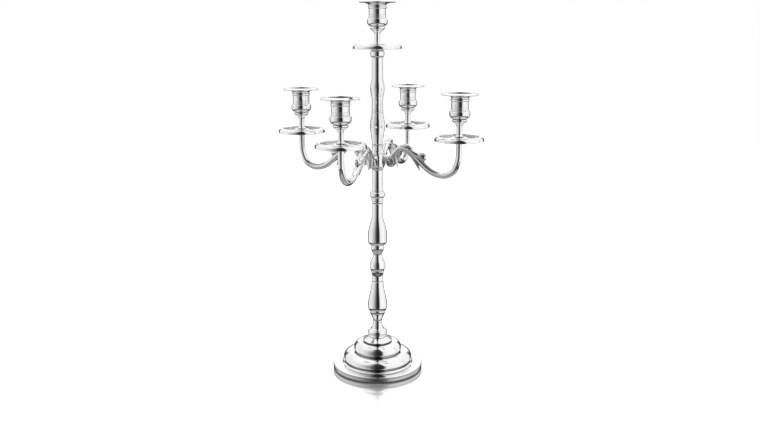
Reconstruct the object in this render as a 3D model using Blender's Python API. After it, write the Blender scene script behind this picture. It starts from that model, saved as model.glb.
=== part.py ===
"""Five-light tabletop candelabra with lift-out candle nozzles.

The stand is a stack of turned pieces clamped on threaded rods. Four cast arms are screwed to
a hub, and each light is a drip pan, a stem and a candle socket pulled together by a stud.
Outlines are written in millimetres and become metres in the meshes. +Z is up, and the
origin is the middle of the felt's underside.
"""

import math

import bmesh
import bpy
from mathutils import Matrix, Vector

MM = 0.001
GAP = 0.3

# Driving dimensions, in millimetres.
TOTAL_HEIGHT = 600.0
ARM_RIM_HEIGHT = 463.2
ARM_REACH = 135.6
FOOT_RADIUS = 74.4
PAN_RADIUS = 38.4
NOZZLE_RADIUS = 28.4
CANDLE_BORE_RADIUS = 11.3
ROD_RADIUS = 3.9
ROD_BORE = 4.4
STUD_RADIUS = 2.0
STUD_BORE = 2.4
FELT_THICKNESS = 1.2
HUB_FLAT = 11.2
SCREW_HEIGHT = 356.5
NUT_FLAT = 6.5

# The middle line of an arm's stem: distance from the column's axis, and height.
ARM_ROOT = HUB_FLAT + GAP
ARM_END_HEIGHT = ARM_RIM_HEIGHT - 76.5
STEM_ROUTE = (
    (ARM_ROOT, 356.5),
    (22.0, 357.5),
    (31.5, 367.0),
    (43.6, 374.6),
    (59.0, 367.0),
    (74.0, 352.8),
    (92.0, 339.0),
    (111.5, 334.6),
    (127.5, 342.4),
    (134.6, 359.0),
    (ARM_REACH, 372.0),
    (ARM_REACH, ARM_END_HEIGHT),
)
STEM_RADII = (5.6, 4.2, 4.6, 5.3, 5.2, 5.0, 5.0, 5.0, 4.8, 4.8, 5.2)
VOLUTE_CENTRE = (21.8, 350.2)
# Discs that fill the scroll: radius and half width.
VOLUTE_DISCS = {"web": (7.4, 2.4), "eye": (2.7, 5.4)}

# Sides of the round pieces, and points on each curved stretch of an outline.
FOOT_SIDES = 28
COLUMN_SIDES = 12
PAN_SIDES = 20
NOZZLE_SIDES = 16
SOCKET_SIDES = 16
STEM_SIDES = 10
BAR_SIDES = 8
CURVE_STEPS = 2

DIRECTIONS = {"right": 0.0, "back": 90.0, "left": 180.0, "front": 270.0}


# ---------------------------------------------------------------- materials

def metal(name, colour, roughness):
    material = bpy.data.materials.new(name)
    material.use_nodes = True
    shader = material.node_tree.nodes["Principled BSDF"]
    shader.inputs["Base Color"].default_value = (*colour, 1.0)
    shader.inputs["Metallic"].default_value = 1.0
    shader.inputs["Roughness"].default_value = roughness
    return material


def plated(node):
    return metal(f"{node}_nickel_plate", (0.86, 0.86, 0.85), 0.06)


def steel(node):
    return metal(f"{node}_zinc_steel", (0.55, 0.56, 0.58), 0.32)


def felt(node):
    material = metal(f"{node}_black_felt", (0.03, 0.03, 0.03), 0.95)
    material.node_tree.nodes["Principled BSDF"].inputs["Metallic"].default_value = 0.0
    return material


# ---------------------------------------------------------------- outlines

def outline(start, *stretches):
    """Points (radius, height) from start through stretches of (kind, radius, height).

    line   straight
    ogee   S-curve, along the axis at both ends
    late   ogee that keeps its first radius for longer
    swell  quarter ellipse that leaves across the axis and arrives along it
    tuck   quarter ellipse that leaves along the axis and arrives across it
    """
    points = [start]
    for kind, radius, height in stretches:
        first_radius, first_height = points[-1]
        steps = 1 if kind == "line" else CURVE_STEPS
        if kind in ("ogee", "late"):
            steps += 1
        for step in range(1, steps + 1):
            t = step / steps
            quarter = t * math.pi / 2
            across, along = t, t
            if kind == "ogee":
                across = (1 - math.cos(math.pi * t)) / 2
            elif kind == "late":
                across = (1 - math.cos(math.pi * t ** 1.4)) / 2
            elif kind == "swell":
                across, along = math.sin(quarter), 1 - math.cos(quarter)
            elif kind == "tuck":
                across, along = 1 - math.cos(quarter), math.sin(quarter)
            points.append(
                (
                    first_radius + (radius - first_radius) * across,
                    first_height + (height - first_height) * along,
                )
            )
    return points


def bored(points, bore):
    """Close an outline, listed from the bottom up, with a plain bore."""
    return points + [(bore, points[-1][1]), (bore, points[0][1])]


# ---------------------------------------------------------------- objects

def finish_mesh(name, mesh_source):
    bmesh.ops.recalc_face_normals(mesh_source, faces=mesh_source.faces)
    mesh = bpy.data.meshes.new(name)
    mesh_source.to_mesh(mesh)
    mesh_source.free()
    mesh.shade_smooth()
    mesh.set_sharp_from_angle(angle=math.radians(35))
    return mesh


def place(name, mesh, material=None, position=(0.0, 0.0, 0.0), turn=0.0):
    """Put a mesh in the scene, at a position in millimetres, turned about +Z in degrees."""
    body = bpy.data.objects.new(name, mesh)
    bpy.context.scene.collection.objects.link(body)
    body.location = Vector(position) * MM
    body.rotation_euler = (0.0, 0.0, math.radians(turn))
    if material:
        mesh.materials.append(material)
    return body


def turned_mesh(name, points, sides):
    """Spin a closed outline about +Z."""
    source = bmesh.new()
    corners = [source.verts.new((radius * MM, 0.0, height * MM)) for radius, height in points]
    edges = [
        source.edges.new((corner, corners[(index + 1) % len(corners)]))
        for index, corner in enumerate(corners)
    ]
    bmesh.ops.spin(
        source,
        geom=corners + edges,
        cent=(0.0, 0.0, 0.0),
        axis=(0.0, 0.0, 1.0),
        dvec=(0.0, 0.0, 0.0),
        angle=2 * math.pi,
        steps=sides,
        use_merge=True,
    )
    return finish_mesh(name, source)


def bar_mesh(name, radius, length, sides=BAR_SIDES):
    """A round bar standing on the origin."""
    source = bmesh.new()
    bmesh.ops.create_cone(
        source,
        cap_ends=True,
        segments=sides,
        radius1=radius * MM,
        radius2=radius * MM,
        depth=length * MM,
        matrix=Matrix.Translation((0.0, 0.0, length * MM / 2)),
    )
    return finish_mesh(name, source)


def sweep_mesh(name, route, half_heights, half_widths, sides):
    """An oval bar along a route of (distance, height) in the plane y = 0."""
    source = bmesh.new()
    rings = []
    for index, (distance, height) in enumerate(route):
        before = Vector(route[max(index - 1, 0)])
        after = Vector(route[min(index + 1, len(route) - 1)])
        along = (after - before).normalized()
        across = Vector((-along.y, along.x))
        ring = []
        for side in range(sides):
            angle = 2 * math.pi * side / sides
            lift = half_heights[index] * math.cos(angle)
            ring.append(
                source.verts.new(
                    (
                        (distance + across.x * lift) * MM,
                        half_widths[index] * math.sin(angle) * MM,
                        (height + across.y * lift) * MM,
                    )
                )
            )
        rings.append(ring)
    for first, second in zip(rings, rings[1:]):
        for side in range(sides):
            after = (side + 1) % sides
            source.faces.new((first[side], first[after], second[after], second[side]))
    source.faces.new(rings[0])
    source.faces.new(rings[-1])
    return finish_mesh(name, source)


def smooth_route(knots, steps):
    """A Catmull-Rom curve through the knots."""
    points = [Vector(knot) for knot in knots]
    points = [2 * points[0] - points[1], *points, 2 * points[-1] - points[-2]]
    route = []
    for p0, p1, p2, p3 in zip(points, points[1:], points[2:], points[3:]):
        for step in range(steps):
            t = step / steps
            route.append(
                0.5
                * (
                    2 * p1
                    + (p2 - p0) * t
                    + (2 * p0 - 5 * p1 + 4 * p2 - p3) * t ** 2
                    + (3 * p1 - p0 - 3 * p2 + p3) * t ** 3
                )
            )
    return [tuple(point) for point in (*route, points[-2])]


def blend_values(values, count):
    """Spread a few sizes evenly over count stations."""
    spread = []
    for index in range(count):
        place_on = index * (len(values) - 1) / (count - 1)
        low = min(int(place_on), len(values) - 2)
        spread.append(values[low] + (values[low + 1] - values[low]) * (place_on - low))
    return spread


# ---------------------------------------------------------------- foot

def make_foot():
    foot = outline(
        (FOOT_RADIUS - 1.0, FELT_THICKNESS + GAP),
        ("line", FOOT_RADIUS, 2.4),
        ("line", FOOT_RADIUS, 8.9),
        ("line", FOOT_RADIUS - 0.8, 9.7),
        ("line", 58.4, 10.1),
        ("line", 58.0, 12.4),
        ("line", 53.2, 13.0),
        ("swell", 57.0, 18.4),
        ("tuck", 41.0, 28.6),
        ("line", 36.8, 28.9),
        ("swell", 39.6, 34.4),
        ("tuck", 27.4, 45.6),
        ("line", 22.4, 46.0),
        ("line", 24.4, 48.4),
        ("line", 15.4, 54.0),
        ("line", ROD_BORE, 54.0),
        ("line", ROD_BORE, 42.0),
        ("line", 25.0, 42.0),
        ("swell", 35.5, 32.0),
        ("line", 34.5, 24.5),
        ("line", 40.0, 24.5),
        ("swell", 50.0, 13.0),
        ("line", 50.0, 6.3),
        ("line", FOOT_RADIUS - 4.0, 6.0),
        ("line", FOOT_RADIUS - 4.0, FELT_THICKNESS + GAP),
    )
    place("foot_casting", turned_mesh("foot_casting", foot, FOOT_SIDES), plated("foot_casting"))

    pad = bar_mesh("felt_pad", FOOT_RADIUS - 1.6, FELT_THICKNESS, FOOT_SIDES)
    place("felt_pad", pad, felt("felt_pad"))

    washer = bored(outline((12.0, 0.0), ("line", 12.0, 2.0)), ROD_BORE)
    mesh = turned_mesh("rod_washer", washer, COLUMN_SIDES)
    place("rod_washer", mesh, steel("rod_washer"), (0.0, 0.0, 39.7))
    place("rod_nut", nut_mesh("rod_nut"), steel("rod_nut"), (0.0, 0.0, 33.0))


def nut_mesh(name):
    """A hexagonal nut: a ring whose outside is pulled out to six flats."""
    ring = bored(outline((NUT_FLAT, 0.0), ("line", NUT_FLAT, 6.4)), ROD_BORE)
    mesh = turned_mesh(name, ring, 24)
    for vertex in mesh.vertices:
        if vertex.co.xy.length > (ROD_BORE + 0.1) * MM:
            angle = math.atan2(vertex.co.y, vertex.co.x)
            from_flat = (angle + math.pi / 6) % (math.pi / 3) - math.pi / 6
            vertex.co.xy /= math.cos(from_flat)
    return mesh


# ---------------------------------------------------------------- column

# Each piece of the column: its outline from the bottom up, in heights above the floor.
COLUMN = {
    "foot_bell": (
        (15.0, 54.3),
        ("line", 13.5, 56.8),
        ("swell", 16.0, 61.0),
        ("tuck", 13.4, 65.4),
        ("line", 12.9, 66.6),
        ("swell", 7.9, 78.6),
    ),
    "lower_vase": (
        (7.8, 78.9),
        ("line", 7.5, 81.0),
        ("ogee", 13.2, 98.6),
        ("swell", 16.0, 107.6),
        ("line", 16.0, 108.8),
        ("ogee", 9.8, 148.0),
        ("line", 9.8, 151.0),
    ),
    "lower_knop": (
        (9.5, 151.3),
        ("line", 9.4, 158.0),
        ("line", 11.0, 169.6),
        ("swell", 13.0, 175.0),
        ("line", 13.0, 178.4),
        ("ogee", 7.7, 193.5),
        ("line", 7.7, 195.8),
    ),
    "middle_baluster": (
        (7.8, 196.1),
        ("line", 7.9, 197.0),
        ("line", 11.2, 206.8),
        ("line", 11.0, 212.6),
        ("swell", 15.8, 220.0),
        ("line", 15.8, 221.8),
        ("late", 8.5, 264.0),
        ("line", 8.4, 282.0),
        ("line", 9.5, 286.0),
    ),
    "column_knop": (
        (9.7, 286.3),
        ("line", 9.7, 291.2),
        ("swell", 12.3, 295.8),
        ("tuck", 9.9, 300.4),
        ("line", 9.7, 302.7),
    ),
    "hub_stem": (
        (9.9, 303.0),
        ("line", 9.2, 305.0),
        ("ogee", 8.4, 330.0),
        ("line", 8.6, 336.0),
        ("line", 10.4, 339.3),
    ),
    "hub_cone": (
        (11.4, 364.3),
        ("swell", 8.5, 374.8),
        ("line", 9.0, 375.4),
        ("line", 9.0, 377.0),
    ),
    "upper_vase": (
        (8.5, 377.3),
        ("line", 9.0, 379.0),
        ("ogee", 11.7, 405.0),
        ("line", 11.7, 409.0),
        ("ogee", 9.1, 429.0),
        ("line", 9.6, 429.6),
        ("line", 9.6, 431.3),
    ),
    "top_collar": (
        (8.9, 514.3),
        ("swell", 10.9, 518.4),
        ("line", 10.9, 521.4),
        ("tuck", 9.0, 525.6),
        ("line", 9.0, 530.7),
    ),
}
UPPER_SPINDLE = (
    (8.8, 431.6),
    ("line", 8.7, 446.5),
    ("ogee", 11.3, 466.6),
    ("ogee", 8.7, 482.0),
    ("line", 8.5, 514.0),
)
ROD_END = 508.0


def make_column():
    for name, stretches in COLUMN.items():
        bore = STUD_BORE if name == "top_collar" else ROD_BORE
        mesh = turned_mesh(name, bored(outline(*stretches), bore), COLUMN_SIDES)
        place(name, mesh, plated(name))

    spindle = outline(*UPPER_SPINDLE)
    spindle += [
        (STUD_BORE, spindle[-1][1]),
        (STUD_BORE, ROD_END + 1.5),
        (ROD_BORE, ROD_END + 1.0),
        (ROD_BORE, spindle[0][1]),
    ]
    mesh = turned_mesh("upper_spindle", spindle, COLUMN_SIDES)
    place("upper_spindle", mesh, plated("upper_spindle"))

    for name, low, high in (
        ("lower_tie_rod", 29.5, 349.0),
        ("upper_tie_rod", 351.0, ROD_END),
    ):
        place(name, bar_mesh(name, ROD_RADIUS, high - low), steel(name), (0.0, 0.0, low))


# ---------------------------------------------------------------- hub and arms

def solid_of(body):
    """The mesh that a body's modifiers give; the body itself is removed."""
    graph = bpy.context.evaluated_depsgraph_get()
    graph.update()
    mesh = bpy.data.meshes.new_from_object(body.evaluated_get(graph))
    bpy.data.objects.remove(body)
    return mesh


def combine(body, others, operation):
    """Join the others to the body or cut them from it, and return the finished mesh."""
    for other in others:
        boolean = body.modifiers.new(other.name, "BOOLEAN")
        boolean.operation = operation
        boolean.solver = "EXACT"
        boolean.object = other
        other.hide_render = True
        other.display_type = "WIRE"
    mesh = solid_of(body)
    for other in others:
        bpy.data.objects.remove(other)
    return mesh


def radial_bar(name, radius, start, end, height, turn=0.0, material=None):
    """A bar that lies along a radius of the column."""
    mesh = bar_mesh(name, radius, end - start)
    mesh.transform(Matrix.Rotation(math.pi / 2, 4, "Y"))
    angle = math.radians(turn)
    position = (start * math.cos(angle), start * math.sin(angle), height)
    return place(name, mesh, material, position, turn)


def make_hub():
    points = outline(
        (10.6, 339.6),
        ("line", 12.6, 343.0),
        ("line", 12.6, 361.0),
        ("line", 11.4, 364.0),
    )
    mesh = turned_mesh("arm_hub", bored(points, ROD_BORE), 24)
    for vertex in mesh.vertices:
        for axis in (0, 1):
            vertex.co[axis] = max(-HUB_FLAT * MM, min(HUB_FLAT * MM, vertex.co[axis]))
    hub = place("arm_hub_blank", mesh)
    drills = [
        radial_bar("hub_drill", STUD_BORE, 3.0, 14.0, SCREW_HEIGHT, turn)
        for turn in DIRECTIONS.values()
    ]
    place("arm_hub", combine(hub, drills, "DIFFERENCE"), plated("arm_hub"))


# The leaves and the scroll of an arm: route knots, then half heights and half widths.
ARM_ORNAMENTS = {
    "crest_leaf": (
        ((35.0, 371.0), (41.0, 377.0), (49.0, 378.2), (56.5, 376.2), (59.6, 372.6)),
        (1.2, 2.6, 2.8, 2.6, 1.2),
        (2.2, 4.8, 5.4, 4.4, 1.6),
    ),
    "sheath_top": (
        ((40.0, 375.0), (52.0, 373.0), (61.0, 368.2), (68.5, 363.4), (75.0, 361.4), (79.2, 360.4)),
        (1.0, 3.0, 3.6, 5.0, 7.2, 6.2),
        (2.0, 5.6, 6.2, 5.8, 5.2, 4.4),
    ),
    "root_web": (
        ((28.0, 356.0), (32.6, 359.4), (37.4, 364.4), (40.4, 368.4)),
        (3.6, 4.6, 4.4, 3.0),
        (2.4, 2.4, 2.4, 2.4),
    ),
    "sheath_bottom": (
        ((42.0, 370.0), (54.0, 366.5), (62.5, 357.5), (68.0, 348.5), (72.0, 339.5)),
        (1.2, 2.6, 2.6, 2.0, 0.7),
        (2.0, 5.0, 5.2, 4.0, 1.2),
    ),
    "drop_leaf": (
        ((31.5, 366.0), (32.6, 357.0), (33.4, 349.0), (35.4, 341.6)),
        (1.8, 1.6, 1.3, 0.6),
        (3.6, 4.6, 4.0, 1.2),
    ),
}


def volute_route():
    """A spiral that leaves the stem's underside and winds in to the eye."""
    start = math.radians(55)
    count = 8
    route = []
    for index in range(count + 1):
        t = index / count
        angle = start - 2 * math.pi * t
        radius = 8.2 - 5.4 * t
        route.append(
            (
                VOLUTE_CENTRE[0] + radius * math.cos(angle),
                VOLUTE_CENTRE[1] + radius * math.sin(angle),
            )
        )
    return route


def arm_mesh():
    route = smooth_route(STEM_ROUTE, 2)
    radii = blend_values(STEM_RADII, len(route))
    stem = place("arm_stem", sweep_mesh("arm_stem", route, radii, radii, 8))

    scroll = volute_route()
    heights = blend_values((2.4, 2.2, 2.0, 1.6), len(scroll))
    widths = blend_values((4.0, 4.4, 4.8, 5.2), len(scroll))
    ornaments = [place("volute", sweep_mesh("volute", scroll, heights, widths, 6))]
    for name, (knots, heights, widths) in ARM_ORNAMENTS.items():
        ornaments.append(place(name, sweep_mesh(name, knots, heights, widths, 6)))
    for name, (radius, half_width) in VOLUTE_DISCS.items():
        disc = bar_mesh(name, radius, 2 * half_width)
        disc.transform(Matrix.Rotation(math.pi / 2, 4, "X"))
        ornaments.append(place(name, disc, None, (VOLUTE_CENTRE[0], half_width, VOLUTE_CENTRE[1])))
    arm = place("arm_blank", combine(stem, ornaments, "UNION"))

    screw_hole = radial_bar("screw_hole", STUD_BORE, HUB_FLAT - 2.0, 19.0, SCREW_HEIGHT)
    hole_floor = (ARM_REACH, 0.0, ARM_END_HEIGHT - 14.0)
    stud_hole = place("stud_hole", bar_mesh("stud_hole", STUD_BORE, 20.0), None, hole_floor)
    return combine(arm, [screw_hole, stud_hole], "DIFFERENCE")


def make_arms():
    casting = arm_mesh()
    for side, turn in DIRECTIONS.items():
        name = f"arm_{side}"
        place(name, casting.copy(), plated(name), turn=turn)
        name = f"arm_screw_{side}"
        radial_bar(name, STUD_RADIUS, 5.2, 18.5, SCREW_HEIGHT, turn, steel(name))


# ---------------------------------------------------------------- lights

# Outlines of a light's pieces, in heights above the nozzle's rim.
DRIP_PAN = (
    (STUD_BORE, -69.0),
    ("line", 11.0, -69.0),
    ("line", 15.0, -70.6),
    ("line", 29.0, -70.6),
    ("line", 31.4, -67.8),
    ("line", 32.6, -67.6),
    ("line", 35.8, -70.4),
    ("line", PAN_RADIUS - 1.4, -73.0),
    ("line", PAN_RADIUS, -72.3),
    ("line", 36.4, -68.0),
    ("line", 32.6, -65.6),
    ("line", 30.8, -65.7),
    ("line", 26.4, -69.3),
    ("line", 15.2, -69.3),
    ("line", 11.0, -67.0),
    ("line", STUD_BORE, -67.0),
)
CUP_STEM = (
    (7.2, -66.7),
    ("line", 7.2, -65.4),
    ("swell", 4.2, -61.0),
    ("line", 4.2, -53.0),
    ("tuck", 8.8, -45.4),
    ("line", 9.3, -44.6),
    ("line", 11.5, -40.4),
    ("line", 11.1, -39.8),
)
CANDLE_SOCKET = (
    (10.4, -39.5),
    ("line", 11.2, -38.4),
    ("swell", 16.0, -31.8),
    ("tuck", 13.7, -26.2),
    ("line", 13.2, -25.4),
    ("line", 13.2, -12.6),
    ("line", 14.3, -11.6),
    ("line", 14.3, -9.8),
    ("line", 13.6, -8.9),
    ("line", 12.4, -8.9),
    ("line", 12.4, -31.0),
    ("line", STUD_BORE, -31.0),
    ("line", STUD_BORE, -39.5),
)
CANDLE_NOZZLE = (
    (12.0, -27.0),
    ("line", 12.0, -8.6),
    ("line", 13.7, -8.6),
    ("line", 13.7, -7.4),
    ("tuck", 26.8, -3.4),
    ("line", NOZZLE_RADIUS, -2.8),
    ("line", NOZZLE_RADIUS - 0.3, -1.9),
    ("line", 19.4, 0.0),
    ("line", 17.4, -3.4),
    ("line", CANDLE_BORE_RADIUS, -8.0),
    ("line", CANDLE_BORE_RADIUS, -27.0),
)
PAN_BOSS = (
    (5.4, -76.2),
    ("line", 6.8, -75.6),
    ("line", 6.8, -74.4),
    ("line", 5.9, -73.8),
    ("tuck", 9.6, -69.8),
    ("line", 9.6, -69.3),
)
STUD_TOP = -36.0
STUD_BOTTOM = -89.0


def make_lights():
    shared = {
        "drip_pan": turned_mesh("drip_pan", outline(*DRIP_PAN), PAN_SIDES),
        "cup_stem": turned_mesh("cup_stem", bored(outline(*CUP_STEM), STUD_BORE), STEM_SIDES),
        "candle_socket": turned_mesh("candle_socket", outline(*CANDLE_SOCKET), SOCKET_SIDES),
        "candle_nozzle": turned_mesh("candle_nozzle", outline(*CANDLE_NOZZLE), NOZZLE_SIDES),
        "pan_boss": turned_mesh("pan_boss", bored(outline(*PAN_BOSS), STUD_BORE), STEM_SIDES),
        "cup_stud": bar_mesh("cup_stud", STUD_RADIUS, STUD_TOP - STUD_BOTTOM),
    }
    places = {"top": (0.0, 0.0, TOTAL_HEIGHT)}
    for side, turn in DIRECTIONS.items():
        angle = math.radians(turn)
        places[side] = (
            ARM_REACH * math.cos(angle),
            ARM_REACH * math.sin(angle),
            ARM_RIM_HEIGHT,
        )
    for side, rim in places.items():
        for piece, mesh in shared.items():
            if side == "top" and piece == "pan_boss":
                continue
            name = f"{piece}_{side}"
            finish = steel(name) if piece == "cup_stud" else plated(name)
            height = rim[2] + (STUD_BOTTOM if piece == "cup_stud" else 0.0)
            place(name, mesh.copy(), finish, (rim[0], rim[1], height))


# ---------------------------------------------------------------- assembly

def main():
    for old in list(bpy.data.objects):
        bpy.data.objects.remove(old)
    make_foot()
    make_column()
    make_hub()
    make_arms()
    make_lights()


main()
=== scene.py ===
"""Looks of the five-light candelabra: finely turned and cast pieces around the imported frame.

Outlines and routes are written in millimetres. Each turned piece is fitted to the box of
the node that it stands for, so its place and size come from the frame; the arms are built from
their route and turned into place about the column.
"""

import math

import bpy
from mathutils import Matrix, Vector


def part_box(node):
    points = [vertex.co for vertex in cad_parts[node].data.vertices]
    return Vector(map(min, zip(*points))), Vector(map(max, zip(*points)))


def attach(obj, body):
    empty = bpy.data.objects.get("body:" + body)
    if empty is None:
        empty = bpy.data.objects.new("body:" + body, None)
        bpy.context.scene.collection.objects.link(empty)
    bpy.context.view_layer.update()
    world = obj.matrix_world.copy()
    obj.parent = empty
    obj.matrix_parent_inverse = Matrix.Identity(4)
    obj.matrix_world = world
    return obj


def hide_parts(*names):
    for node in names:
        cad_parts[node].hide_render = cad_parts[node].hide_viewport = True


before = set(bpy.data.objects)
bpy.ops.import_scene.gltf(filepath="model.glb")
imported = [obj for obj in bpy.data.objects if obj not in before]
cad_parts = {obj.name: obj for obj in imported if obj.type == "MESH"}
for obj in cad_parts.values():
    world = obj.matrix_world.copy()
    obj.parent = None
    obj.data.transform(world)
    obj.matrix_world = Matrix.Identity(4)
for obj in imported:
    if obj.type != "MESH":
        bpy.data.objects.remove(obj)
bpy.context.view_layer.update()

MM = 0.001
STAND = "stand"
LIGHTS = ("top", "right", "back", "left", "front")
ARMS = {"right": 0.0, "back": 90.0, "left": 180.0, "front": 270.0}

# The camera looks at the column from this turn about +Z, counted from the -Y side.
CAMERA_TURN = math.radians(22.86)
CAMERA_DISTANCE = 1.298
CAMERA_HEIGHT = 0.5627
CAMERA_PITCH = math.radians(-12.98)
CAMERA_YAW = math.radians(0.18)
CAMERA_LENS = 38.8

CURVE_STEPS = 12
CORNER_RADIUS = 0.35
CORNER_STEPS = 3
SUPPORT = 0.3


# ---------------------------------------------------------------- camera, light and floor

def make_camera():
    camera = bpy.data.objects.new("camera", bpy.data.cameras.new("camera"))
    camera.data.lens = CAMERA_LENS
    camera.data.clip_start = 0.05
    camera.location = (
        CAMERA_DISTANCE * math.sin(CAMERA_TURN),
        -CAMERA_DISTANCE * math.cos(CAMERA_TURN),
        CAMERA_HEIGHT,
    )
    camera.rotation_euler = (math.pi / 2 + CAMERA_PITCH, 0.0, CAMERA_TURN - CAMERA_YAW)
    bpy.context.scene.collection.objects.link(camera)
    bpy.context.scene.camera = camera


# Brightness of the studio round the object: degrees from the camera's side, positive to its
# right, then brightness. A dark gap between the soft boxes faces the object from there.
STUDIO_WALLS = (
    (-180, 1.00),
    (-110, 0.95),
    (-100, 0.86),
    (-85, 0.95),
    (-70, 0.82),
    (-56, 0.70),
    (-43, 0.52),
    (-29, 0.30),
    (-16, 0.09),
    (-3, 0.02),
    (20, 0.03),
    (25, 0.30),
    (30, 0.92),
    (43, 1.00),
    (60, 1.05),
    (85, 1.08),
    (94, 1.00),
    (100, 0.78),
    (106, 0.98),
    (180, 1.00),
)
STUDIO_OVERHEAD = (
    (-180, 1.10),
    (-60, 1.00),
    (-34, 0.62),
    (-14, 0.05),
    (19, 0.04),
    (26, 0.80),
    (34, 1.05),
    (180, 1.10),
)
# The sine of the elevation where the overhead lights start, and where they are full.
OVERHEAD = (0.50, 0.80)
# Areas of one brightness, each with the sines of the elevations where it starts and is full:
# the table under the object, and its dark near edge, which also has an end.
TABLE = (0.40, -0.60, -0.69)
TABLE_EDGE = (0.08, (-0.43, -0.50), (-0.69, -0.62))
# The dark room low behind the object outlines it. Its edges are cosines of the angle from its
# middle, which lies at BEHIND_ELEVATION. The white backdrop stands in front of it.
BEHIND = (0.06, 0.62, 0.73)
BEHIND_ELEVATION = math.radians(-18)
BACKDROP = (1.12, 0.05, 0.11)
BACKDROP_EDGE = (152, 164)


def make_studio():
    world = bpy.data.worlds.new("studio")
    bpy.context.scene.world = world
    world.use_nodes = True
    nodes, links = world.node_tree.nodes, world.node_tree.links
    nodes.clear()

    def math_node(operation, first, second=0.0):
        node = nodes.new("ShaderNodeMath")
        node.operation = operation
        for socket, value in zip(node.inputs, (first, second)):
            if isinstance(value, (int, float)):
                socket.default_value = value
            else:
                links.new(value, socket)
        return node.outputs[0]

    def share_of(value, start, end):
        """0 before start, 1 past end, and a soft step between them."""
        node = nodes.new("ShaderNodeMapRange")
        node.interpolation_type = "SMOOTHSTEP"
        node.inputs["From Min"].default_value = start
        node.inputs["From Max"].default_value = end
        links.new(value, node.inputs["Value"])
        return node.outputs["Result"]

    def blend_to(colour, brightness, share):
        node = mix_of(nodes, None, (brightness, brightness, brightness))
        links.new(share, node.inputs["Factor"])
        links.new(colour, node.inputs[6])
        return node.outputs[2]

    direction = nodes.new("ShaderNodeTexCoord").outputs["Generated"]

    def along(vector):
        dot = nodes.new("ShaderNodeVectorMath")
        dot.operation = "DOT_PRODUCT"
        links.new(direction, dot.inputs[0])
        dot.inputs[1].default_value = vector
        return dot.outputs["Value"]

    sine, cosine = math.sin(CAMERA_TURN), math.cos(CAMERA_TURN)
    to_right = along((cosine, sine, 0.0))
    to_camera = along((sine, -cosine, 0.0))
    height = along((0.0, 0.0, 1.0))
    turn = math_node("DIVIDE", math_node("ARCTAN2", to_right, to_camera), 2 * math.pi)
    place = math_node("ADD", turn, 0.5)

    def ring_of(stops):
        """A grey for each direction round the object."""
        node = nodes.new("ShaderNodeValToRGB")
        links.new(place, node.inputs["Fac"])
        elements = node.color_ramp.elements
        elements.remove(elements[1])
        for index, (degrees, brightness) in enumerate(stops):
            share = degrees / 360 + 0.5
            stop = elements.new(share) if index else elements[0]
            stop.position = share
            stop.color = (brightness, brightness, brightness, 1.0)
        return node.outputs["Color"]

    ceiling = mix_of(nodes, None, None)
    links.new(share_of(height, *OVERHEAD), ceiling.inputs["Factor"])
    links.new(ring_of(STUDIO_WALLS), ceiling.inputs[6])
    links.new(ring_of(STUDIO_OVERHEAD), ceiling.inputs[7])
    room = ceiling.outputs[2]
    brightness, *edges = TABLE_EDGE
    table_edge = math_node("MULTIPLY", *(share_of(height, *edge) for edge in edges))
    room = blend_to(room, brightness, table_edge)
    brightness, start, end = TABLE
    room = blend_to(room, brightness, share_of(height, start, end))
    brightness, start, end = BEHIND
    level, low = math.cos(BEHIND_ELEVATION), math.sin(BEHIND_ELEVATION)
    to_behind = along((-sine * level, cosine * level, low))
    room = blend_to(room, brightness, share_of(to_behind, start, end))
    brightness, start, end = BACKDROP
    aside = math_node("MULTIPLY", math_node("ABSOLUTE", turn), 360)
    beside, above = share_of(aside, *BACKDROP_EDGE), share_of(height, start, end)
    room = blend_to(room, brightness, math_node("MULTIPLY", beside, above))

    studio = nodes.new("ShaderNodeBackground")
    links.new(room, studio.inputs["Color"])
    backdrop = nodes.new("ShaderNodeBackground")
    backdrop.inputs["Color"].default_value = (1.0, 1.0, 1.0, 1.0)
    mix = nodes.new("ShaderNodeMixShader")
    path = nodes.new("ShaderNodeLightPath")
    links.new(path.outputs["Is Camera Ray"], mix.inputs["Fac"])
    links.new(studio.outputs[0], mix.inputs[1])
    links.new(backdrop.outputs[0], mix.inputs[2])
    output = nodes.new("ShaderNodeOutputWorld")
    links.new(mix.outputs[0], output.inputs["Surface"])
    bpy.context.scene.view_settings.view_transform = "Standard"


FLOOR_SIZE = 3.0
FLOOR_GLOW = 0.6
# The table's polish, and the distances from the column between which it fades away.
MIRROR_TINT = 0.92
MIRROR_ROUGHNESS = 0.08
MIRROR_SHARE = 0.9
MIRROR_START = 0.070
MIRROR_END = 0.175


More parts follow.
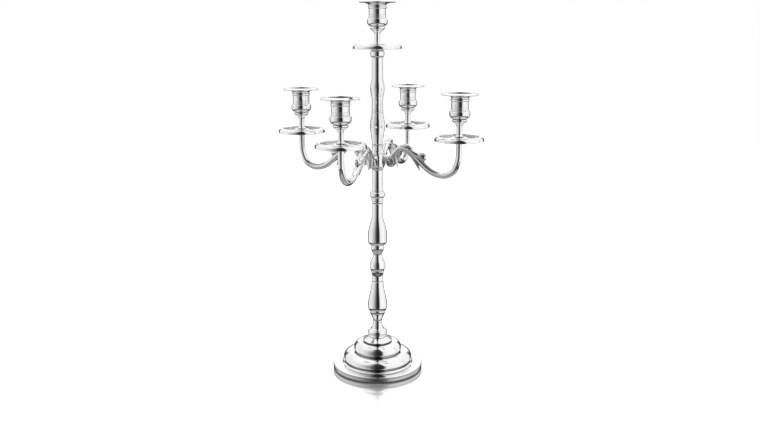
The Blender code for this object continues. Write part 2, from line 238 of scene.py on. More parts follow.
def make_floor():
    """A white table top, polished near the foot, which fades into the white backdrop."""
    mesh = bpy.data.meshes.new("floor")
    size = FLOOR_SIZE
    mesh.from_pydata(
        [(-size, -size, 0.0), (size, -size, 0.0), (size, size, 0.0), (-size, size, 0.0)],
        [],
        [(0, 1, 2, 3)],
    )
    floor = bpy.data.objects.new("floor", mesh)
    bpy.context.scene.collection.objects.link(floor)
    floor.visible_glossy = False
    material, nodes, links, shader = new_material("white_table")
    shader.inputs["Base Color"].default_value = (0.9, 0.9, 0.9, 1.0)
    shader.inputs["Roughness"].default_value = 1.0
    shader.inputs["Specular IOR Level"].default_value = 0.0
    shader.inputs["Emission Color"].default_value = (1.0, 1.0, 1.0, 1.0)
    shader.inputs["Emission Strength"].default_value = FLOOR_GLOW
    mirror = nodes.new("ShaderNodeBsdfGlossy")
    mirror.inputs["Color"].default_value = (MIRROR_TINT, MIRROR_TINT, MIRROR_TINT, 1.0)
    mirror.inputs["Roughness"].default_value = MIRROR_ROUGHNESS
    coordinates = nodes.new("ShaderNodeTexCoord")
    distance = nodes.new("ShaderNodeVectorMath")
    distance.operation = "LENGTH"
    links.new(coordinates.outputs["Object"], distance.inputs[0])
    fade = nodes.new("ShaderNodeMapRange")
    fade.interpolation_type = "SMOOTHSTEP"
    fade.inputs["From Min"].default_value = MIRROR_START
    fade.inputs["From Max"].default_value = MIRROR_END
    fade.inputs["To Min"].default_value = MIRROR_SHARE
    fade.inputs["To Max"].default_value = 0.0
    links.new(distance.outputs["Value"], fade.inputs["Value"])
    mix = nodes.new("ShaderNodeMixShader")
    links.new(fade.outputs["Result"], mix.inputs["Fac"])
    links.new(shader.outputs[0], mix.inputs[1])
    links.new(mirror.outputs[0], mix.inputs[2])
    links.new(mix.outputs[0], nodes["Material Output"].inputs["Surface"])
    mesh.materials.append(material)


# ---------------------------------------------------------------- materials

def new_material(name):
    material = bpy.data.materials.new(name)
    material.use_nodes = True
    nodes, links = material.node_tree.nodes, material.node_tree.links
    return material, nodes, links, nodes["Principled BSDF"]


def noise_of(nodes, links, scale, detail=3.0, stretch=(1.0, 1.0, 1.0)):
    """A noise over the object's own coordinates, stretched along its axes."""
    coordinates = nodes.new("ShaderNodeTexCoord")
    mapping = nodes.new("ShaderNodeMapping")
    mapping.inputs["Scale"].default_value = stretch
    links.new(coordinates.outputs["Object"], mapping.inputs["Vector"])
    noise = nodes.new("ShaderNodeTexNoise")
    noise.inputs["Scale"].default_value = scale
    noise.inputs["Detail"].default_value = detail
    links.new(mapping.outputs["Vector"], noise.inputs["Vector"])
    return noise.outputs["Fac"]


def spread_of(nodes, links, value, low, high, first=0.3, last=0.7):
    spread = nodes.new("ShaderNodeMapRange")
    spread.inputs["From Min"].default_value = first
    spread.inputs["From Max"].default_value = last
    spread.inputs["To Min"].default_value = low
    spread.inputs["To Max"].default_value = high
    links.new(value, spread.inputs["Value"])
    return spread.outputs["Result"]


def mix_of(nodes, first, second):
    """A mix of two colours; None leaves a side to be linked."""
    mix = nodes.new("ShaderNodeMix")
    mix.data_type = "RGBA"
    for index, colour in ((6, first), (7, second)):
        if colour:
            mix.inputs[index].default_value = (*colour, 1.0)
    return mix


def add_bump(nodes, links, shader, height, distance):
    bump = nodes.new("ShaderNodeBump")
    bump.inputs["Distance"].default_value = distance
    links.new(height, bump.inputs["Height"])
    links.new(bump.outputs["Normal"], shader.inputs["Normal"])


def sum_of(nodes, links, first, second, share):
    """first + share * second."""
    node = nodes.new("ShaderNodeMath")
    node.operation = "MULTIPLY_ADD"
    links.new(second, node.inputs[0])
    node.inputs[1].default_value = share
    links.new(first, node.inputs[2])
    return node.outputs[0]


SATIN_ROUGHNESS = 0.26
# The darker colour of the brushed band on the foot's rim: painted shade near the table.
RIM_SHADE_TINT = (0.56, 0.56, 0.56)


def nickel(name, smooth, marks, wobble, reach, shade_range=(0.12, 0.62), satin_and_shade_height=0.0):
    """Polished nickel plate, with painted shade darkening its crevices and the places near other
    surfaces.

    smooth is the clean roughness, marks the stretch of the polishing marks along X, Y and Z,
    wobble the depth of the cast or spun surface's slow waves, and reach how far the ambient
    occlusion looks for other surfaces when it paints shade; both are in metres. shade_range gives
    the openness at which the painted shade is full and at which it is gone. Below
    satin_and_shade_height the plate is brushed, and its colour is darker as painted shade along
    the foot's rim near the table.
    """
    material, nodes, links, shader = new_material(name)
    shader.inputs["Metallic"].default_value = 1.0

    cloud = noise_of(nodes, links, 38.0, 4.0)
    plate = mix_of(nodes, (0.93, 0.93, 0.93), (0.86, 0.86, 0.855))
    links.new(spread_of(nodes, links, cloud, 0.0, 1.0), plate.inputs["Factor"])
    # Painted shade: the ambient occlusion darkens the plate towards a dark grey in crevices, in
    # the creases between pieces and near the table.
    crevice = nodes.new("ShaderNodeAmbientOcclusion")
    crevice.samples = 6
    crevice.inputs["Distance"].default_value = reach
    painted_shade = mix_of(nodes, (0.10, 0.10, 0.10), None)
    links.new(plate.outputs[2], painted_shade.inputs[7])
    openness = spread_of(nodes, links, crevice.outputs["AO"], 0.0, 1.0, *shade_range)
    links.new(openness, painted_shade.inputs["Factor"])
    links.new(painted_shade.outputs[2], shader.inputs["Base Color"])

    fine = noise_of(nodes, links, 900.0, 2.0, marks)
    haze = spread_of(nodes, links, cloud, smooth, smooth + 0.02)
    haze = sum_of(nodes, links, haze, fine, 0.012)
    if satin_and_shade_height:
        height = nodes.new("ShaderNodeSeparateXYZ")
        coordinates = nodes.new("ShaderNodeTexCoord")
        links.new(coordinates.outputs["Object"], height.inputs[0])
        step = spread_of(
            nodes, links, height.outputs["Z"], 1.0, 0.0, satin_and_shade_height - 0.0002, satin_and_shade_height
        )
        haze = sum_of(nodes, links, haze, step, SATIN_ROUGHNESS)
        # Below this height the colour darkens too: painted shade along the foot's rim near the
        # table.
        rim_shade = mix_of(nodes, None, RIM_SHADE_TINT)
        links.new(step, rim_shade.inputs["Factor"])
        links.new(painted_shade.outputs[2], rim_shade.inputs[6])
        links.new(rim_shade.outputs[2], shader.inputs["Base Color"])
    links.new(haze, shader.inputs["Roughness"])
    slow = noise_of(nodes, links, 95.0, 1.0)
    add_bump(nodes, links, shader, sum_of(nodes, links, slow, fine, 0.01), wobble)
    return material


def dull_shaded_metal(name):
    """Plate that the polishing wheel doesn't reach, so rougher, and made dark as painted shade in
    the bore; a noise varies its tone and roughness at random.
    """
    material, nodes, links, shader = new_material(name)
    shader.inputs["Metallic"].default_value = 1.0
    stain = noise_of(nodes, links, 240.0, 5.0)
    # Painted shade: the plate inside the bore is made dark.
    tint = mix_of(nodes, (0.16, 0.16, 0.155), (0.34, 0.34, 0.335))
    links.new(spread_of(nodes, links, stain, 0.0, 1.0), tint.inputs["Factor"])
    links.new(tint.outputs[2], shader.inputs["Base Color"])
    links.new(spread_of(nodes, links, stain, 0.46, 0.30), shader.inputs["Roughness"])
    add_bump(nodes, links, shader, stain, 0.0001)
    return material


def zinc_thread(name, axis):
    """Zinc plated steel with a fine thread along one axis."""
    material, nodes, links, shader = new_material(name)
    shader.inputs["Metallic"].default_value = 1.0
    cloud = noise_of(nodes, links, 120.0, 4.0)
    tint = mix_of(nodes, (0.60, 0.61, 0.63), (0.45, 0.46, 0.47))
    links.new(cloud, tint.inputs["Factor"])
    links.new(tint.outputs[2], shader.inputs["Base Color"])
    links.new(spread_of(nodes, links, cloud, 0.25, 0.42), shader.inputs["Roughness"])
    thread = nodes.new("ShaderNodeTexWave")
    thread.bands_direction = axis
    thread.inputs["Scale"].default_value = 310.0
    coordinates = nodes.new("ShaderNodeTexCoord")
    links.new(coordinates.outputs["Object"], thread.inputs["Vector"])
    add_bump(nodes, links, shader, thread.outputs["Fac"], 0.0004)
    return material


def felt(name):
    material, nodes, links, shader = new_material(name)
    fibres = noise_of(nodes, links, 1400.0, 6.0, (1.0, 1.0, 0.3))
    tufts = noise_of(nodes, links, 260.0, 3.0)
    tint = mix_of(nodes, (0.012, 0.012, 0.013), (0.050, 0.050, 0.054))
    links.new(sum_of(nodes, links, tufts, fibres, 0.5), tint.inputs["Factor"])
    links.new(tint.outputs[2], shader.inputs["Base Color"])
    shader.inputs["Roughness"].default_value = 1.0
    shader.inputs["Sheen Weight"].default_value = 0.5
    shader.inputs["Sheen Roughness"].default_value = 0.4
    add_bump(nodes, links, shader, sum_of(nodes, links, tufts, fibres, 0.8), 0.0004)
    return material


# ---------------------------------------------------------------- outlines

def outline(start, *stretches):
    """Points (radius, height) from start through stretches of (kind, radius, height).

    line    straight
    ogee    S-curve, along the axis at both ends
    late    ogee that keeps its first radius for longer
    swell   quarter ellipse that leaves across the axis and arrives along it
    tuck    quarter ellipse that leaves along the axis and arrives across it
    groove  straight, with a fine turned groove at its end
    """
    points = [start]
    for kind, radius, height in stretches:
        first_radius, first_height = points[-1]
        if kind == "groove":
            points += groove(points[-1], (radius, height))
            continue
        steps = 1 if kind == "line" else CURVE_STEPS
        for step in range(1, steps + 1):
            t = step / steps
            quarter = t * math.pi / 2
            across, along = t, t
            if kind == "ogee":
                across = (1 - math.cos(math.pi * t)) / 2
            elif kind == "late":
                across = (1 - math.cos(math.pi * t ** 1.4)) / 2
            elif kind == "swell":
                across, along = math.sin(quarter), 1 - math.cos(quarter)
            elif kind == "tuck":
                across, along = 1 - math.cos(quarter), math.sin(quarter)
            points.append(
                (
                    first_radius + (radius - first_radius) * across,
                    first_height + (height - first_height) * along,
                )
            )
    return points


def groove(start, end, width=0.7, depth=0.32):
    """A line from start to end, with a groove cut just before its end."""
    first, last = Vector(start), Vector(end)
    along = (last - first).normalized()
    inwards = Vector((-along.y, along.x))
    if inwards.x > 0 or (abs(inwards.x) < 1e-6 and inwards.y > 0):
        inwards.negate()
    middle = last - along * width / 2
    return [tuple(last - along * width), tuple(middle + inwards * depth), tuple(last)]


def bored(points, bore):
    """Close an outline, listed from the bottom up, with a plain bore."""
    return points + [(bore, points[-1][1]), (bore, points[0][1])]


def rounded(points):
    """Round the corners of a closed outline, and hold each straight stretch flat."""
    smooth = []
    for index, point in enumerate(points):
        corner = Vector(point)
        before = Vector(points[index - 1]) - corner
        after = Vector(points[(index + 1) % len(points)]) - corner
        bend = math.pi - before.angle(after)
        if bend < math.radians(20):
            smooth.append(point)
            continue
        cut = min(CORNER_RADIUS * math.tan(bend / 2), before.length * 0.4, after.length * 0.4)
        start, end = before.normalized() * cut, after.normalized() * cut
        if before.length > 2 * (cut + SUPPORT):
            smooth.append(tuple(corner + start + before.normalized() * SUPPORT))
        for step in range(CORNER_STEPS + 1):
            t = step / CORNER_STEPS
            smooth.append(tuple(corner + start * (1 - t) ** 2 + end * t ** 2))
        if after.length > 2 * (cut + SUPPORT):
            smooth.append(tuple(corner + end + after.normalized() * SUPPORT))
    return smooth


# ---------------------------------------------------------------- meshes

def mesh_of(name, corners, faces):
    mesh = bpy.data.meshes.new(name)
    mesh.from_pydata(corners, [], faces)
    mesh.shade_smooth()
    return mesh


def turned_mesh(name, points, sides):
    """Spin a closed outline, listed anticlockwise with the axis on its left, about +Z."""
    profile = rounded(points)
    count = len(profile)
    area = sum(
        a[0] * b[1] - b[0] * a[1] for a, b in zip(profile, profile[1:] + profile[:1])
    )
    if area < 0:
        profile.reverse()
    corners = []
    for side in range(sides):
        angle = 2 * math.pi * side / sides
        cosine, sine = math.cos(angle) * MM, math.sin(angle) * MM
        corners += [(radius * cosine, radius * sine, height * MM) for radius, height in profile]
    faces = []
    for side in range(sides):
        here, there = side * count, (side + 1) % sides * count
        for index in range(count):
            after = (index + 1) % count
            faces.append((here + index, there + index, there + after, here + after))
    return mesh_of(name, corners, faces)


def bounds_of(mesh):
    xs, ys, zs = zip(*(corner.co for corner in mesh.vertices))
    return Vector((min(xs), min(ys), min(zs))), Vector((max(xs), max(ys), max(zs)))


def fit_turned(mesh, node):
    """Fit a turned mesh to the box of its node: one scale across, and one along Z."""
    low, high = (Vector(corner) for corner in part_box(node))
    own_low, own_high = bounds_of(mesh)
    across = (high.x - low.x) / (own_high.x - own_low.x)
    along = (high.z - low.z) / (own_high.z - own_low.z)
    middle = (low + high) / 2
    for vertex in mesh.vertices:
        vertex.co.x = vertex.co.x * across
        vertex.co.y = vertex.co.y * across
        vertex.co.z = low.z + (vertex.co.z - own_low.z) * along
    return Vector((middle.x, middle.y, 0.0))


def add_piece(name, mesh, material, node, body=STAND, place=(0.0, 0.0, 0.0), turn=0.0):
    piece = bpy.data.objects.new(name, mesh)
    bpy.context.scene.collection.objects.link(piece)
    piece.location = place
    piece.rotation_euler = (0.0, 0.0, turn)
    mesh.materials.append(material)
    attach(piece, body)
    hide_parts(node)
    return piece


# ---------------------------------------------------------------- foot and column

FOOT = (
    (73.4, 1.5),
    ("line", 74.4, 2.4),
    ("line", 74.2, 6.4),
    ("line", 73.2, 7.1),
    ("line", 73.2, 7.7),
    ("line", 74.4, 8.3),
    ("line", 74.4, 9.0),
    ("tuck", 73.4, 9.8),
    ("line", 59.0, 10.1),
    ("line", 58.2, 10.6),
    ("line", 58.0, 11.8),
    ("line", 57.4, 12.4),
    ("line", 53.0, 12.6),
    ("line", 53.2, 14.2),
    ("swell", 57.0, 18.4),
    ("tuck", 41.0, 28.6),
    ("line", 36.8, 28.7),
    ("line", 36.8, 30.2),
    ("swell", 39.6, 34.4),
    ("tuck", 27.4, 45.6),
    ("line", 22.0, 45.7),
    ("line", 22.0, 46.8),
    ("swell", 24.4, 48.4),
    ("line", 15.4, 54.0),
    ("line", 4.4, 54.0),
    ("line", 4.4, 42.0),
    ("line", 25.0, 42.0),
    ("swell", 35.5, 32.0),
    ("line", 34.5, 24.5),
    ("line", 40.0, 24.5),
    ("swell", 50.0, 13.0),
    ("line", 50.0, 6.3),
    ("line", 70.4, 6.0),
    ("line", 70.4, 1.5),
)
COLUMN = {
    "foot_bell": (
        (15.0, 54.3),
        ("line", 13.4, 56.6),
        ("line", 13.6, 57.2),
        ("swell", 16.0, 61.0),
        ("tuck", 13.6, 65.2),
        ("line", 13.0, 65.6),
        ("line", 12.9, 66.6),
        ("swell", 7.9, 78.6),
    ),
    "lower_vase": (
        (7.8, 78.9),
        ("line", 7.5, 81.0),
        ("ogee", 13.2, 98.4),
        ("line", 12.9, 98.8),
        ("line", 12.9, 99.3),
        ("line", 13.5, 99.7),
        ("swell", 16.0, 107.6),
        ("line", 16.0, 108.8),
        ("ogee", 9.9, 147.6),
        ("line", 9.9, 149.2),
        ("line", 9.5, 149.6),
        ("line", 9.5, 150.4),
        ("line", 9.8, 151.0),
    ),
    "lower_knop": (
        (9.5, 151.3),
        ("line", 9.4, 158.0),
        ("ogee", 10.9, 169.0),
        ("line", 11.2, 169.8),
        ("swell", 13.0, 175.0),
        ("line", 13.0, 178.4),
        ("ogee", 7.7, 193.5),
        ("line", 7.7, 195.8),
    ),
    "middle_baluster": (
        (7.8, 196.1),
        ("line", 7.9, 197.0),
        ("ogee", 11.2, 206.2),
        ("line", 11.4, 207.0),
        ("line", 11.0, 207.6),
        ("line", 11.0, 212.6),
        ("swell", 15.8, 220.0),
        ("line", 15.8, 221.8),
        ("late", 8.5, 264.0),
        ("line", 8.4, 281.4),
        ("swell", 9.5, 285.4),
        ("line", 9.5, 286.0),
    ),
    "column_knop": (
        (9.7, 286.3),
        ("groove", 9.7, 289.2),
        ("line", 9.7, 291.2),
        ("swell", 12.3, 295.8),
        ("tuck", 9.9, 300.4),
        ("line", 9.7, 302.7),
    ),
    "hub_stem": (
        (9.9, 303.0),
        ("line", 9.3, 304.6),
        ("ogee", 8.4, 330.0),
        ("line", 8.5, 335.4),
        ("tuck", 10.4, 338.6),
        ("line", 10.4, 339.3),
    ),
    "hub_cone": (
        (11.4, 364.3),
        ("swell", 8.5, 374.6),
        ("line", 9.0, 375.2),
        ("line", 9.0, 377.0),
    ),
    "upper_vase": (
        (8.5, 377.3),
        ("line", 9.0, 379.0),
        ("ogee", 11.7, 405.0),
        ("line", 11.7, 409.0),
        ("ogee", 9.1, 428.6),
        ("line", 9.6, 429.2),
        ("line", 9.6, 431.3),
    ),
    "top_collar": (
        (8.9, 514.3),
        ("swell", 10.9, 518.4),
        ("line", 10.9, 521.4),
        ("tuck", 9.2, 525.4),
        ("line", 9.0, 526.0),
        ("line", 9.0, 530.7),
    ),
    "upper_spindle": (
        (8.8, 431.6),
        ("line", 8.7, 446.5),
        ("ogee", 11.3, 466.6),
        ("ogee", 8.7, 482.0),
        ("line", 8.5, 514.0),
    ),
}
FOOT_SIDES = 144
# Below this height the foot's plate is brushed, and its colour is darkened as painted shade near
# the table.
SATIN_AND_SHADE_HEIGHT = 0.0093
COLUMN_SIDES = 72
COLUMN_BORE = 4.4
COLLAR_BORE = 2.4


def make_foot_and_column(foot_plate, turned):
    mesh = turned_mesh("foot_casting", outline(*FOOT), FOOT_SIDES)
    place = fit_turned(mesh, "foot_casting")
    add_piece("foot", mesh, foot_plate, "foot_casting", place=place)
    for node, stretches in COLUMN.items():
        bore = COLLAR_BORE if node == "top_collar" else COLUMN_BORE
        mesh = turned_mesh(node, bored(outline(*stretches), bore), COLUMN_SIDES)
        place = fit_turned(mesh, node)
        add_piece(f"{node}_turned", mesh, turned, node, place=place)


HUB = (
    (10.6, 339.6),
    ("line", 10.8, 340.4),
    ("tuck", 12.6, 343.2),
    ("line", 12.6, 360.8),
    ("swell", 11.4, 363.4),
    ("line", 11.3, 364.0),
)


def make_hub(turned):
    """The turned hub, milled flat on the four sides that carry an arm."""
    mesh = turned_mesh("arm_hub", bored(outline(*HUB), COLUMN_BORE), COLUMN_SIDES)
    low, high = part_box("arm_hub")
    own_low, own_high = bounds_of(mesh)
    along = (high[2] - low[2]) / (own_high.z - own_low.z)
    flat = high[0]
    for vertex in mesh.vertices:
        vertex.co.x = max(-flat, min(flat, vertex.co.x))
        vertex.co.y = max(-flat, min(flat, vertex.co.y))
        vertex.co.z = low[2] + (vertex.co.z - own_low.z) * along
    add_piece("hub", mesh, turned, "arm_hub")


# ---------------------------------------------------------------- lights

LIGHT_PIECES = {
    "drip_pan": (
        96,
        (
            (2.4, -69.0),
            ("line", 11.0, -69.0),
            ("line", 15.0, -70.6),
            ("line", 29.4, -70.6),
            ("swell", 32.4, -67.8),
            ("line", 33.0, -67.1),
            ("swell", 36.8, -71.4),
            ("line", 37.0, -73.0),
            ("line", 38.0, -72.9),
            ("line", 38.4, -72.3),
            ("line", 38.2, -71.6),
            ("tuck", 32.6, -65.6),
            ("line", 31.4, -65.5),
            ("line", 30.4, -66.0),
            ("line", 30.0, -66.8),
            ("line", 30.9, -67.4),
            ("line", 30.9, -68.6),
            ("line", 30.0, -69.1),
            ("line", 15.2, -69.3),
            ("line", 12.0, -67.7),
            ("line", 10.6, -67.0),
            ("line", 2.4, -67.0),
        ),
    ),
    "cup_stem": (
        48,
        (
            (7.2, -66.7),
            ("line", 7.3, -65.6),
            ("line", 6.6, -65.0),
            ("swell", 4.2, -60.6),
            ("line", 4.2, -53.0),
            ("tuck", 8.8, -45.4),
            ("line", 9.3, -45.0),
            ("line", 9.3, -44.2),
            ("swell", 11.5, -40.6),
            ("line", 11.3, -39.8),
            ("line", 2.4, -39.8),
            ("line", 2.4, -66.7),
        ),
    ),
    "candle_socket": (
        72,
        (
            (10.4, -39.5),
            ("line", 10.8, -38.4),
            ("swell", 16.0, -31.8),
            ("tuck", 13.9, -26.6),
            ("line", 13.3, -26.2),
            ("line", 13.3, -25.4),
            ("line", 13.6, -25.0),
            ("line", 13.6, -24.2),
            ("line", 13.2, -23.8),
            ("groove", 13.2, -21.2),
            ("line", 13.2, -12.4),
            ("line", 13.9, -12.0),
            ("swell", 14.4, -10.6),
            ("tuck", 13.4, -8.9),
            ("line", 12.4, -8.9),
            ("line", 12.4, -31.0),
            ("line", 2.4, -31.0),
            ("line", 2.4, -39.5),
        ),
    ),
    "candle_nozzle": (
        96,
        (
            (12.0, -27.0),
            ("line", 12.0, -8.6),
            ("line", 13.7, -8.6),
            ("line", 13.7, -7.4),
            ("tuck", 26.8, -3.4),
            ("line", 28.0, -3.2),
            ("line", 28.4, -2.6),
            ("line", 28.1, -1.9),
            ("line", 20.6, -0.4),
            ("line", 19.4, 0.0),
            ("line", 18.4, -0.4),
            ("line", 17.4, -3.4),
            ("line", 11.3, -8.0),
            ("line", 11.3, -27.0),
        ),
    ),
    "pan_boss": (
        48,
        (
            (5.4, -76.2),
            ("line", 6.5, -75.9),
            ("line", 6.8, -75.3),
            ("line", 6.5, -74.6),
            ("line", 5.9, -74.2),
            ("tuck", 9.4, -69.9),
            ("line", 9.6, -69.3),
            ("line", 2.4, -69.3),
            ("line", 2.4, -76.2),
        ),
    ),
}


# The painted shade inside a nozzle, a dark dull plate, starts at this radius, just inside the lip
# of its mouth.
MOUTH_RADIUS = 18.2


def shade_bore(mesh, bore_shade):
    """Give the inside of a nozzle, down from its mouth, the dark plate of painted shade."""
    mesh.materials.append(bore_shade)
    for face in mesh.polygons:
        centre, normal = face.center, face.normal
        inwards = centre.x * normal.x + centre.y * normal.y < 0
        if inwards and centre.xy.length < MOUTH_RADIUS * MM:
            face.material_index = 1


def make_lights(spun, bore_shade):
    for piece, (sides, stretches) in LIGHT_PIECES.items():
        points = outline(*stretches)
        for side in LIGHTS:
            node = f"{piece}_{side}"
            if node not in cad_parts:
                continue
            mesh = turned_mesh(node, points, sides)
            place = fit_turned(mesh, node)
            body = f"nozzle_{side}" if piece == "candle_nozzle" else STAND
            add_piece(f"{piece.split('_')[-1]}_{side}_spun", mesh, spun, node, body, place)
            if piece == "candle_nozzle":
                shade_bore(mesh, bore_shade)


# ---------------------------------------------------------------- arms

# The middle line of an arm's stem: distance from the column's axis, and height.
STEM_ROUTE = (
    (11.5, 356.5),
    (22.0, 357.5),
    (31.5, 367.0),
    (43.6, 374.6),
    (59.0, 367.0),
    (74.0, 352.8),
    (92.0, 339.0),
    (111.5, 334.6),
    (127.5, 342.4),
    (134.6, 359.0),
    (135.6, 372.0),
    (135.6, 386.7),
)
STEM_RADII = (5.6, 4.2, 4.6, 5.3, 5.2, 5.0, 5.0, 5.0, 4.8, 4.8, 5.2)
# The scroll at an arm's root: where its spiral starts and ends, and the discs that fill it.
VOLUTE_CENTRE = (21.8, 350.2)
VOLUTE_START = math.radians(55)
VOLUTE_FIRST_RADIUS = 8.2
VOLUTE_LAST_RADIUS = 2.8
WEB_RADIUS = 7.4
WEB_HALF_WIDTH = 2.4
EYE_RADIUS = 2.7
EYE_HALF_WIDTH = 5.4
# Each ornament's route, then its half heights and half widths along that route.
ORNAMENTS = {
    "crest_leaf": (
        ((35.0, 371.0), (41.0, 377.0), (49.0, 378.2), (56.5, 376.2), (59.6, 372.6)),
        (1.2, 2.6, 2.8, 2.6, 1.2),
        (2.2, 4.8, 5.4, 4.4, 1.6),
    ),
    "sheath_top": (
        ((40.0, 375.0), (52.0, 373.0), (61.0, 368.2), (68.5, 363.4), (75.0, 361.4), (79.2, 360.4)),
        (1.0, 3.0, 3.6, 5.0, 7.2, 6.2),
        (2.0, 5.6, 6.2, 5.8, 5.2, 4.4),
    ),
    "root_web": (
        ((28.0, 356.0), (32.6, 359.4), (37.4, 364.4), (40.4, 368.4)),
        (3.6, 4.6, 4.4, 3.0),
        (2.4, 2.4, 2.4, 2.4),
    ),
    "sheath_bottom": (
        ((42.0, 370.0), (54.0, 366.5), (62.5, 357.5), (68.0, 348.5), (72.0, 339.5)),
        (1.2, 2.6, 2.6, 2.0, 0.7),
        (2.0, 5.0, 5.2, 4.0, 1.2),
    ),
    "drop_leaf": (
        ((31.5, 366.0), (32.6, 357.0), (33.4, 349.0), (35.4, 341.6)),
        (1.8, 1.6, 1.3, 0.6),
        (3.6, 4.6, 4.0, 1.2),
    ),
}


def smooth_route(knots, steps):
    """A Catmull-Rom curve through the knots."""
    points = [Vector(knot) for knot in knots]
    points = [2 * points[0] - points[1], *points, 2 * points[-1] - points[-2]]
    route = []
    for p0, p1, p2, p3 in zip(points, points[1:], points[2:], points[3:]):
        for step in range(steps):
            t = step / steps
            route.append(
                0.5
                * (
                    2 * p1
                    + (p2 - p0) * t
                    + (2 * p0 - 5 * p1 + 4 * p2 - p3) * t ** 2
                    + (3 * p1 - p0 - 3 * p2 + p3) * t ** 3
                )
            )
    return [*route, points[-2]]


def eased(values, rounds=4):
    """Average each value with its neighbours a few times; the ends stay."""
    for _ in range(rounds):
        middle = [(a + 2 * b + c) / 4 for a, b, c in zip(values, values[1:], values[2:])]
        values = [values[0], *middle, values[-1]]
    return values


def blend_values(values, count):
    """Spread a few sizes evenly over count stations."""
    spread = []
    for index in range(count):
        place_on = index * (len(values) - 1) / (count - 1)
        low = min(int(place_on), len(values) - 2)
        spread.append(values[low] + (values[low + 1] - values[low]) * (place_on - low))
    return eased(spread)


CAP_ANGLES = (22.5, 45.0, 67.5, 82.0)
CAP_REACH = 0.8


def swept_mesh(name, route, heights, widths, sides, veins=0.0):
    """An oval bar along a route in the plane y = 0, with round ends and veins on its top."""
    along_start = (route[1] - route[0]).normalized()
    along_end = (route[-1] - route[-2]).normalized()
    stations = []
    for index, centre in enumerate(route):
        before = route[max(index - 1, 0)]
        after = route[min(index + 1, len(route) - 1)]
        stations.append((centre, (after - before).normalized(), heights[index], widths[index]))
    first_reach = CAP_REACH * min(heights[0], widths[0])
    last_reach = CAP_REACH * min(heights[-1], widths[-1])
    for degrees in CAP_ANGLES:
        shrink, reach = math.cos(math.radians(degrees)), math.sin(math.radians(degrees))
        start = route[0] - along_start * first_reach * reach
        end = route[-1] + along_end * last_reach * reach
        stations.insert(0, (start, along_start, heights[0] * shrink, widths[0] * shrink))
        stations.append((end, along_end, heights[-1] * shrink, widths[-1] * shrink))
    corners = []
    for centre, along, high, wide in stations:
        across = Vector((-along.y, along.x))
        for side in range(sides):
            angle = 2 * math.pi * side / sides
            lift = high * math.cos(angle)
            if veins and math.cos(angle) > 0:
                lift *= 1 + veins * math.cos(angle) * math.cos(9 * angle)
            corners.append(
                (
                    (centre.x + across.x * lift) * MM,
                    wide * math.sin(angle) * MM,
                    (centre.y + across.y * lift) * MM,
                )
            )
    faces = []
    for station in range(len(stations) - 1):
        for side in range(sides):
            here, after = station * sides, (side + 1) % sides
            faces.append((here + side, here + after, here + sides + after, here + sides + side))
    faces.append(tuple(range(sides))[::-1])
    faces.append(tuple(range((len(stations) - 1) * sides, len(stations) * sides)))
    return mesh_of(name, corners, faces)


def volute_route(steps):
    """A spiral that leaves the stem's underside and winds in to the eye."""
    route = []
    for index in range(steps + 1):
        t = index / steps
        angle = VOLUTE_START - 2 * math.pi * t
        radius = VOLUTE_FIRST_RADIUS + (VOLUTE_LAST_RADIUS - VOLUTE_FIRST_RADIUS) * t
        route.append(
            Vector(VOLUTE_CENTRE) + Vector((math.cos(angle), math.sin(angle))) * radius
        )
    return route


def disc_mesh(name, radius, half_width):
    """A disc with a rounded edge across the volute's middle."""
    points = outline((0.4, -half_width), ("swell", radius, 0.0), ("tuck", 0.4, half_width))
    mesh = turned_mesh(name, points, 32)
    middle = (VOLUTE_CENTRE[0] * MM, 0.0, VOLUTE_CENTRE[1] * MM)
    mesh.transform(Matrix.Translation(middle) @ Matrix.Rotation(math.pi / 2, 4, "X"))
    return mesh


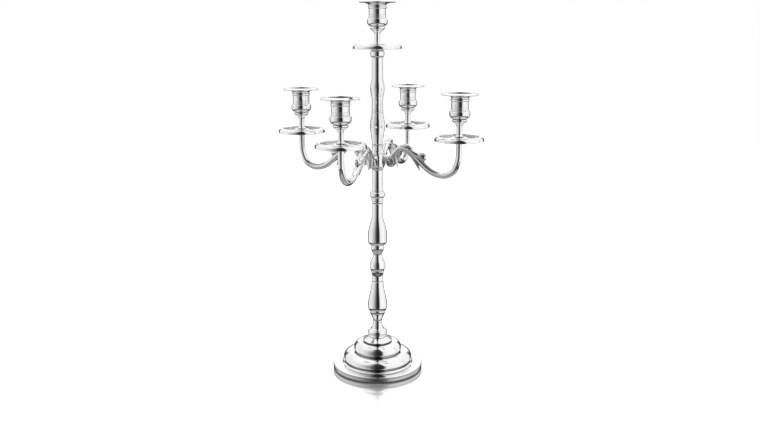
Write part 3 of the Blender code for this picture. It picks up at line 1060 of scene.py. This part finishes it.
def arm_mesh():
    """One arm: the stem with its scroll and leaves joined into a single skin."""
    route = smooth_route(STEM_ROUTE, 12)
    radii = blend_values(STEM_RADII, len(route))
    parts = [swept_mesh("stem", route, radii, radii, 32)]
    scroll = volute_route(48)
    heights = blend_values((2.4, 2.2, 2.0, 1.6), len(scroll))
    widths = blend_values((4.0, 4.4, 4.8, 5.2), len(scroll))
    parts.append(swept_mesh("volute", scroll, heights, widths, 24))
    parts.append(disc_mesh("volute_web", WEB_RADIUS, WEB_HALF_WIDTH))
    parts.append(disc_mesh("volute_eye", EYE_RADIUS, EYE_HALF_WIDTH))
    for name, (knots, heights, widths) in ORNAMENTS.items():
        route = smooth_route(knots, 10)
        heights = blend_values(heights, len(route))
        widths = blend_values(widths, len(route))
        parts.append(swept_mesh(name, route, heights, widths, 48, veins=0.12))

    bodies = []
    for mesh in parts:
        body = bpy.data.objects.new(mesh.name, mesh)
        bpy.context.scene.collection.objects.link(body)
        bodies.append(body)
    stem, others = bodies[0], bodies[1:]
    for other in others:
        boolean = stem.modifiers.new(other.name, "BOOLEAN")
        boolean.operation = "UNION"
        boolean.solver = "EXACT"
        boolean.object = other
    graph = bpy.context.evaluated_depsgraph_get()
    graph.update()
    joined = bpy.data.meshes.new_from_object(stem.evaluated_get(graph))
    for body in bodies:
        bpy.data.objects.remove(body)
    joined.shade_smooth()
    return joined


def make_arms(cast):
    casting = arm_mesh()
    for side, turn in ARMS.items():
        add_piece(f"arm_{side}_cast", casting.copy(), cast, f"arm_{side}", turn=math.radians(turn))


# ---------------------------------------------------------------- carried-over nodes

def finish_hidden_nodes():
    upright = zinc_thread("zinc_thread_upright", "Z")
    along_x = zinc_thread("zinc_thread_x", "X")
    along_y = zinc_thread("zinc_thread_y", "Y")
    pad = felt("black_felt")
    for name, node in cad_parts.items():
        if name == "felt_pad":
            material = pad
        elif name.startswith("arm_screw"):
            material = along_y if name.endswith(("back", "front")) else along_x
        elif name.startswith(("cup_stud", "lower_tie", "upper_tie", "rod_")):
            material = upright
        else:
            continue
        for index in range(len(node.data.materials)):
            node.data.materials[index] = material


make_camera()
make_studio()
make_floor()
# The reach and the last pair of numbers set how far and how strongly each plate's painted shade
# spreads; the cast arms get the most.
TURNED = nickel("nickel_turned", 0.012, (0.02, 0.02, 1.0), 0.000018, 0.007)
SPUN = nickel("nickel_spun", 0.012, (0.05, 0.05, 1.0), 0.000018, 0.006)
FOOT_PLATE = nickel(
    "nickel_foot", 0.012, (0.02, 0.02, 1.0), 0.000018, 0.007, satin_and_shade_height=SATIN_AND_SHADE_HEIGHT
)
CAST = nickel("nickel_cast", 0.025, (1.0, 1.0, 1.0), 0.00012, 0.009, (0.30, 0.92))
make_foot_and_column(FOOT_PLATE, TURNED)
make_hub(TURNED)
make_lights(SPUN, dull_shaded_metal("dull_shaded_bore"))
make_arms(CAST)
finish_hidden_nodes()
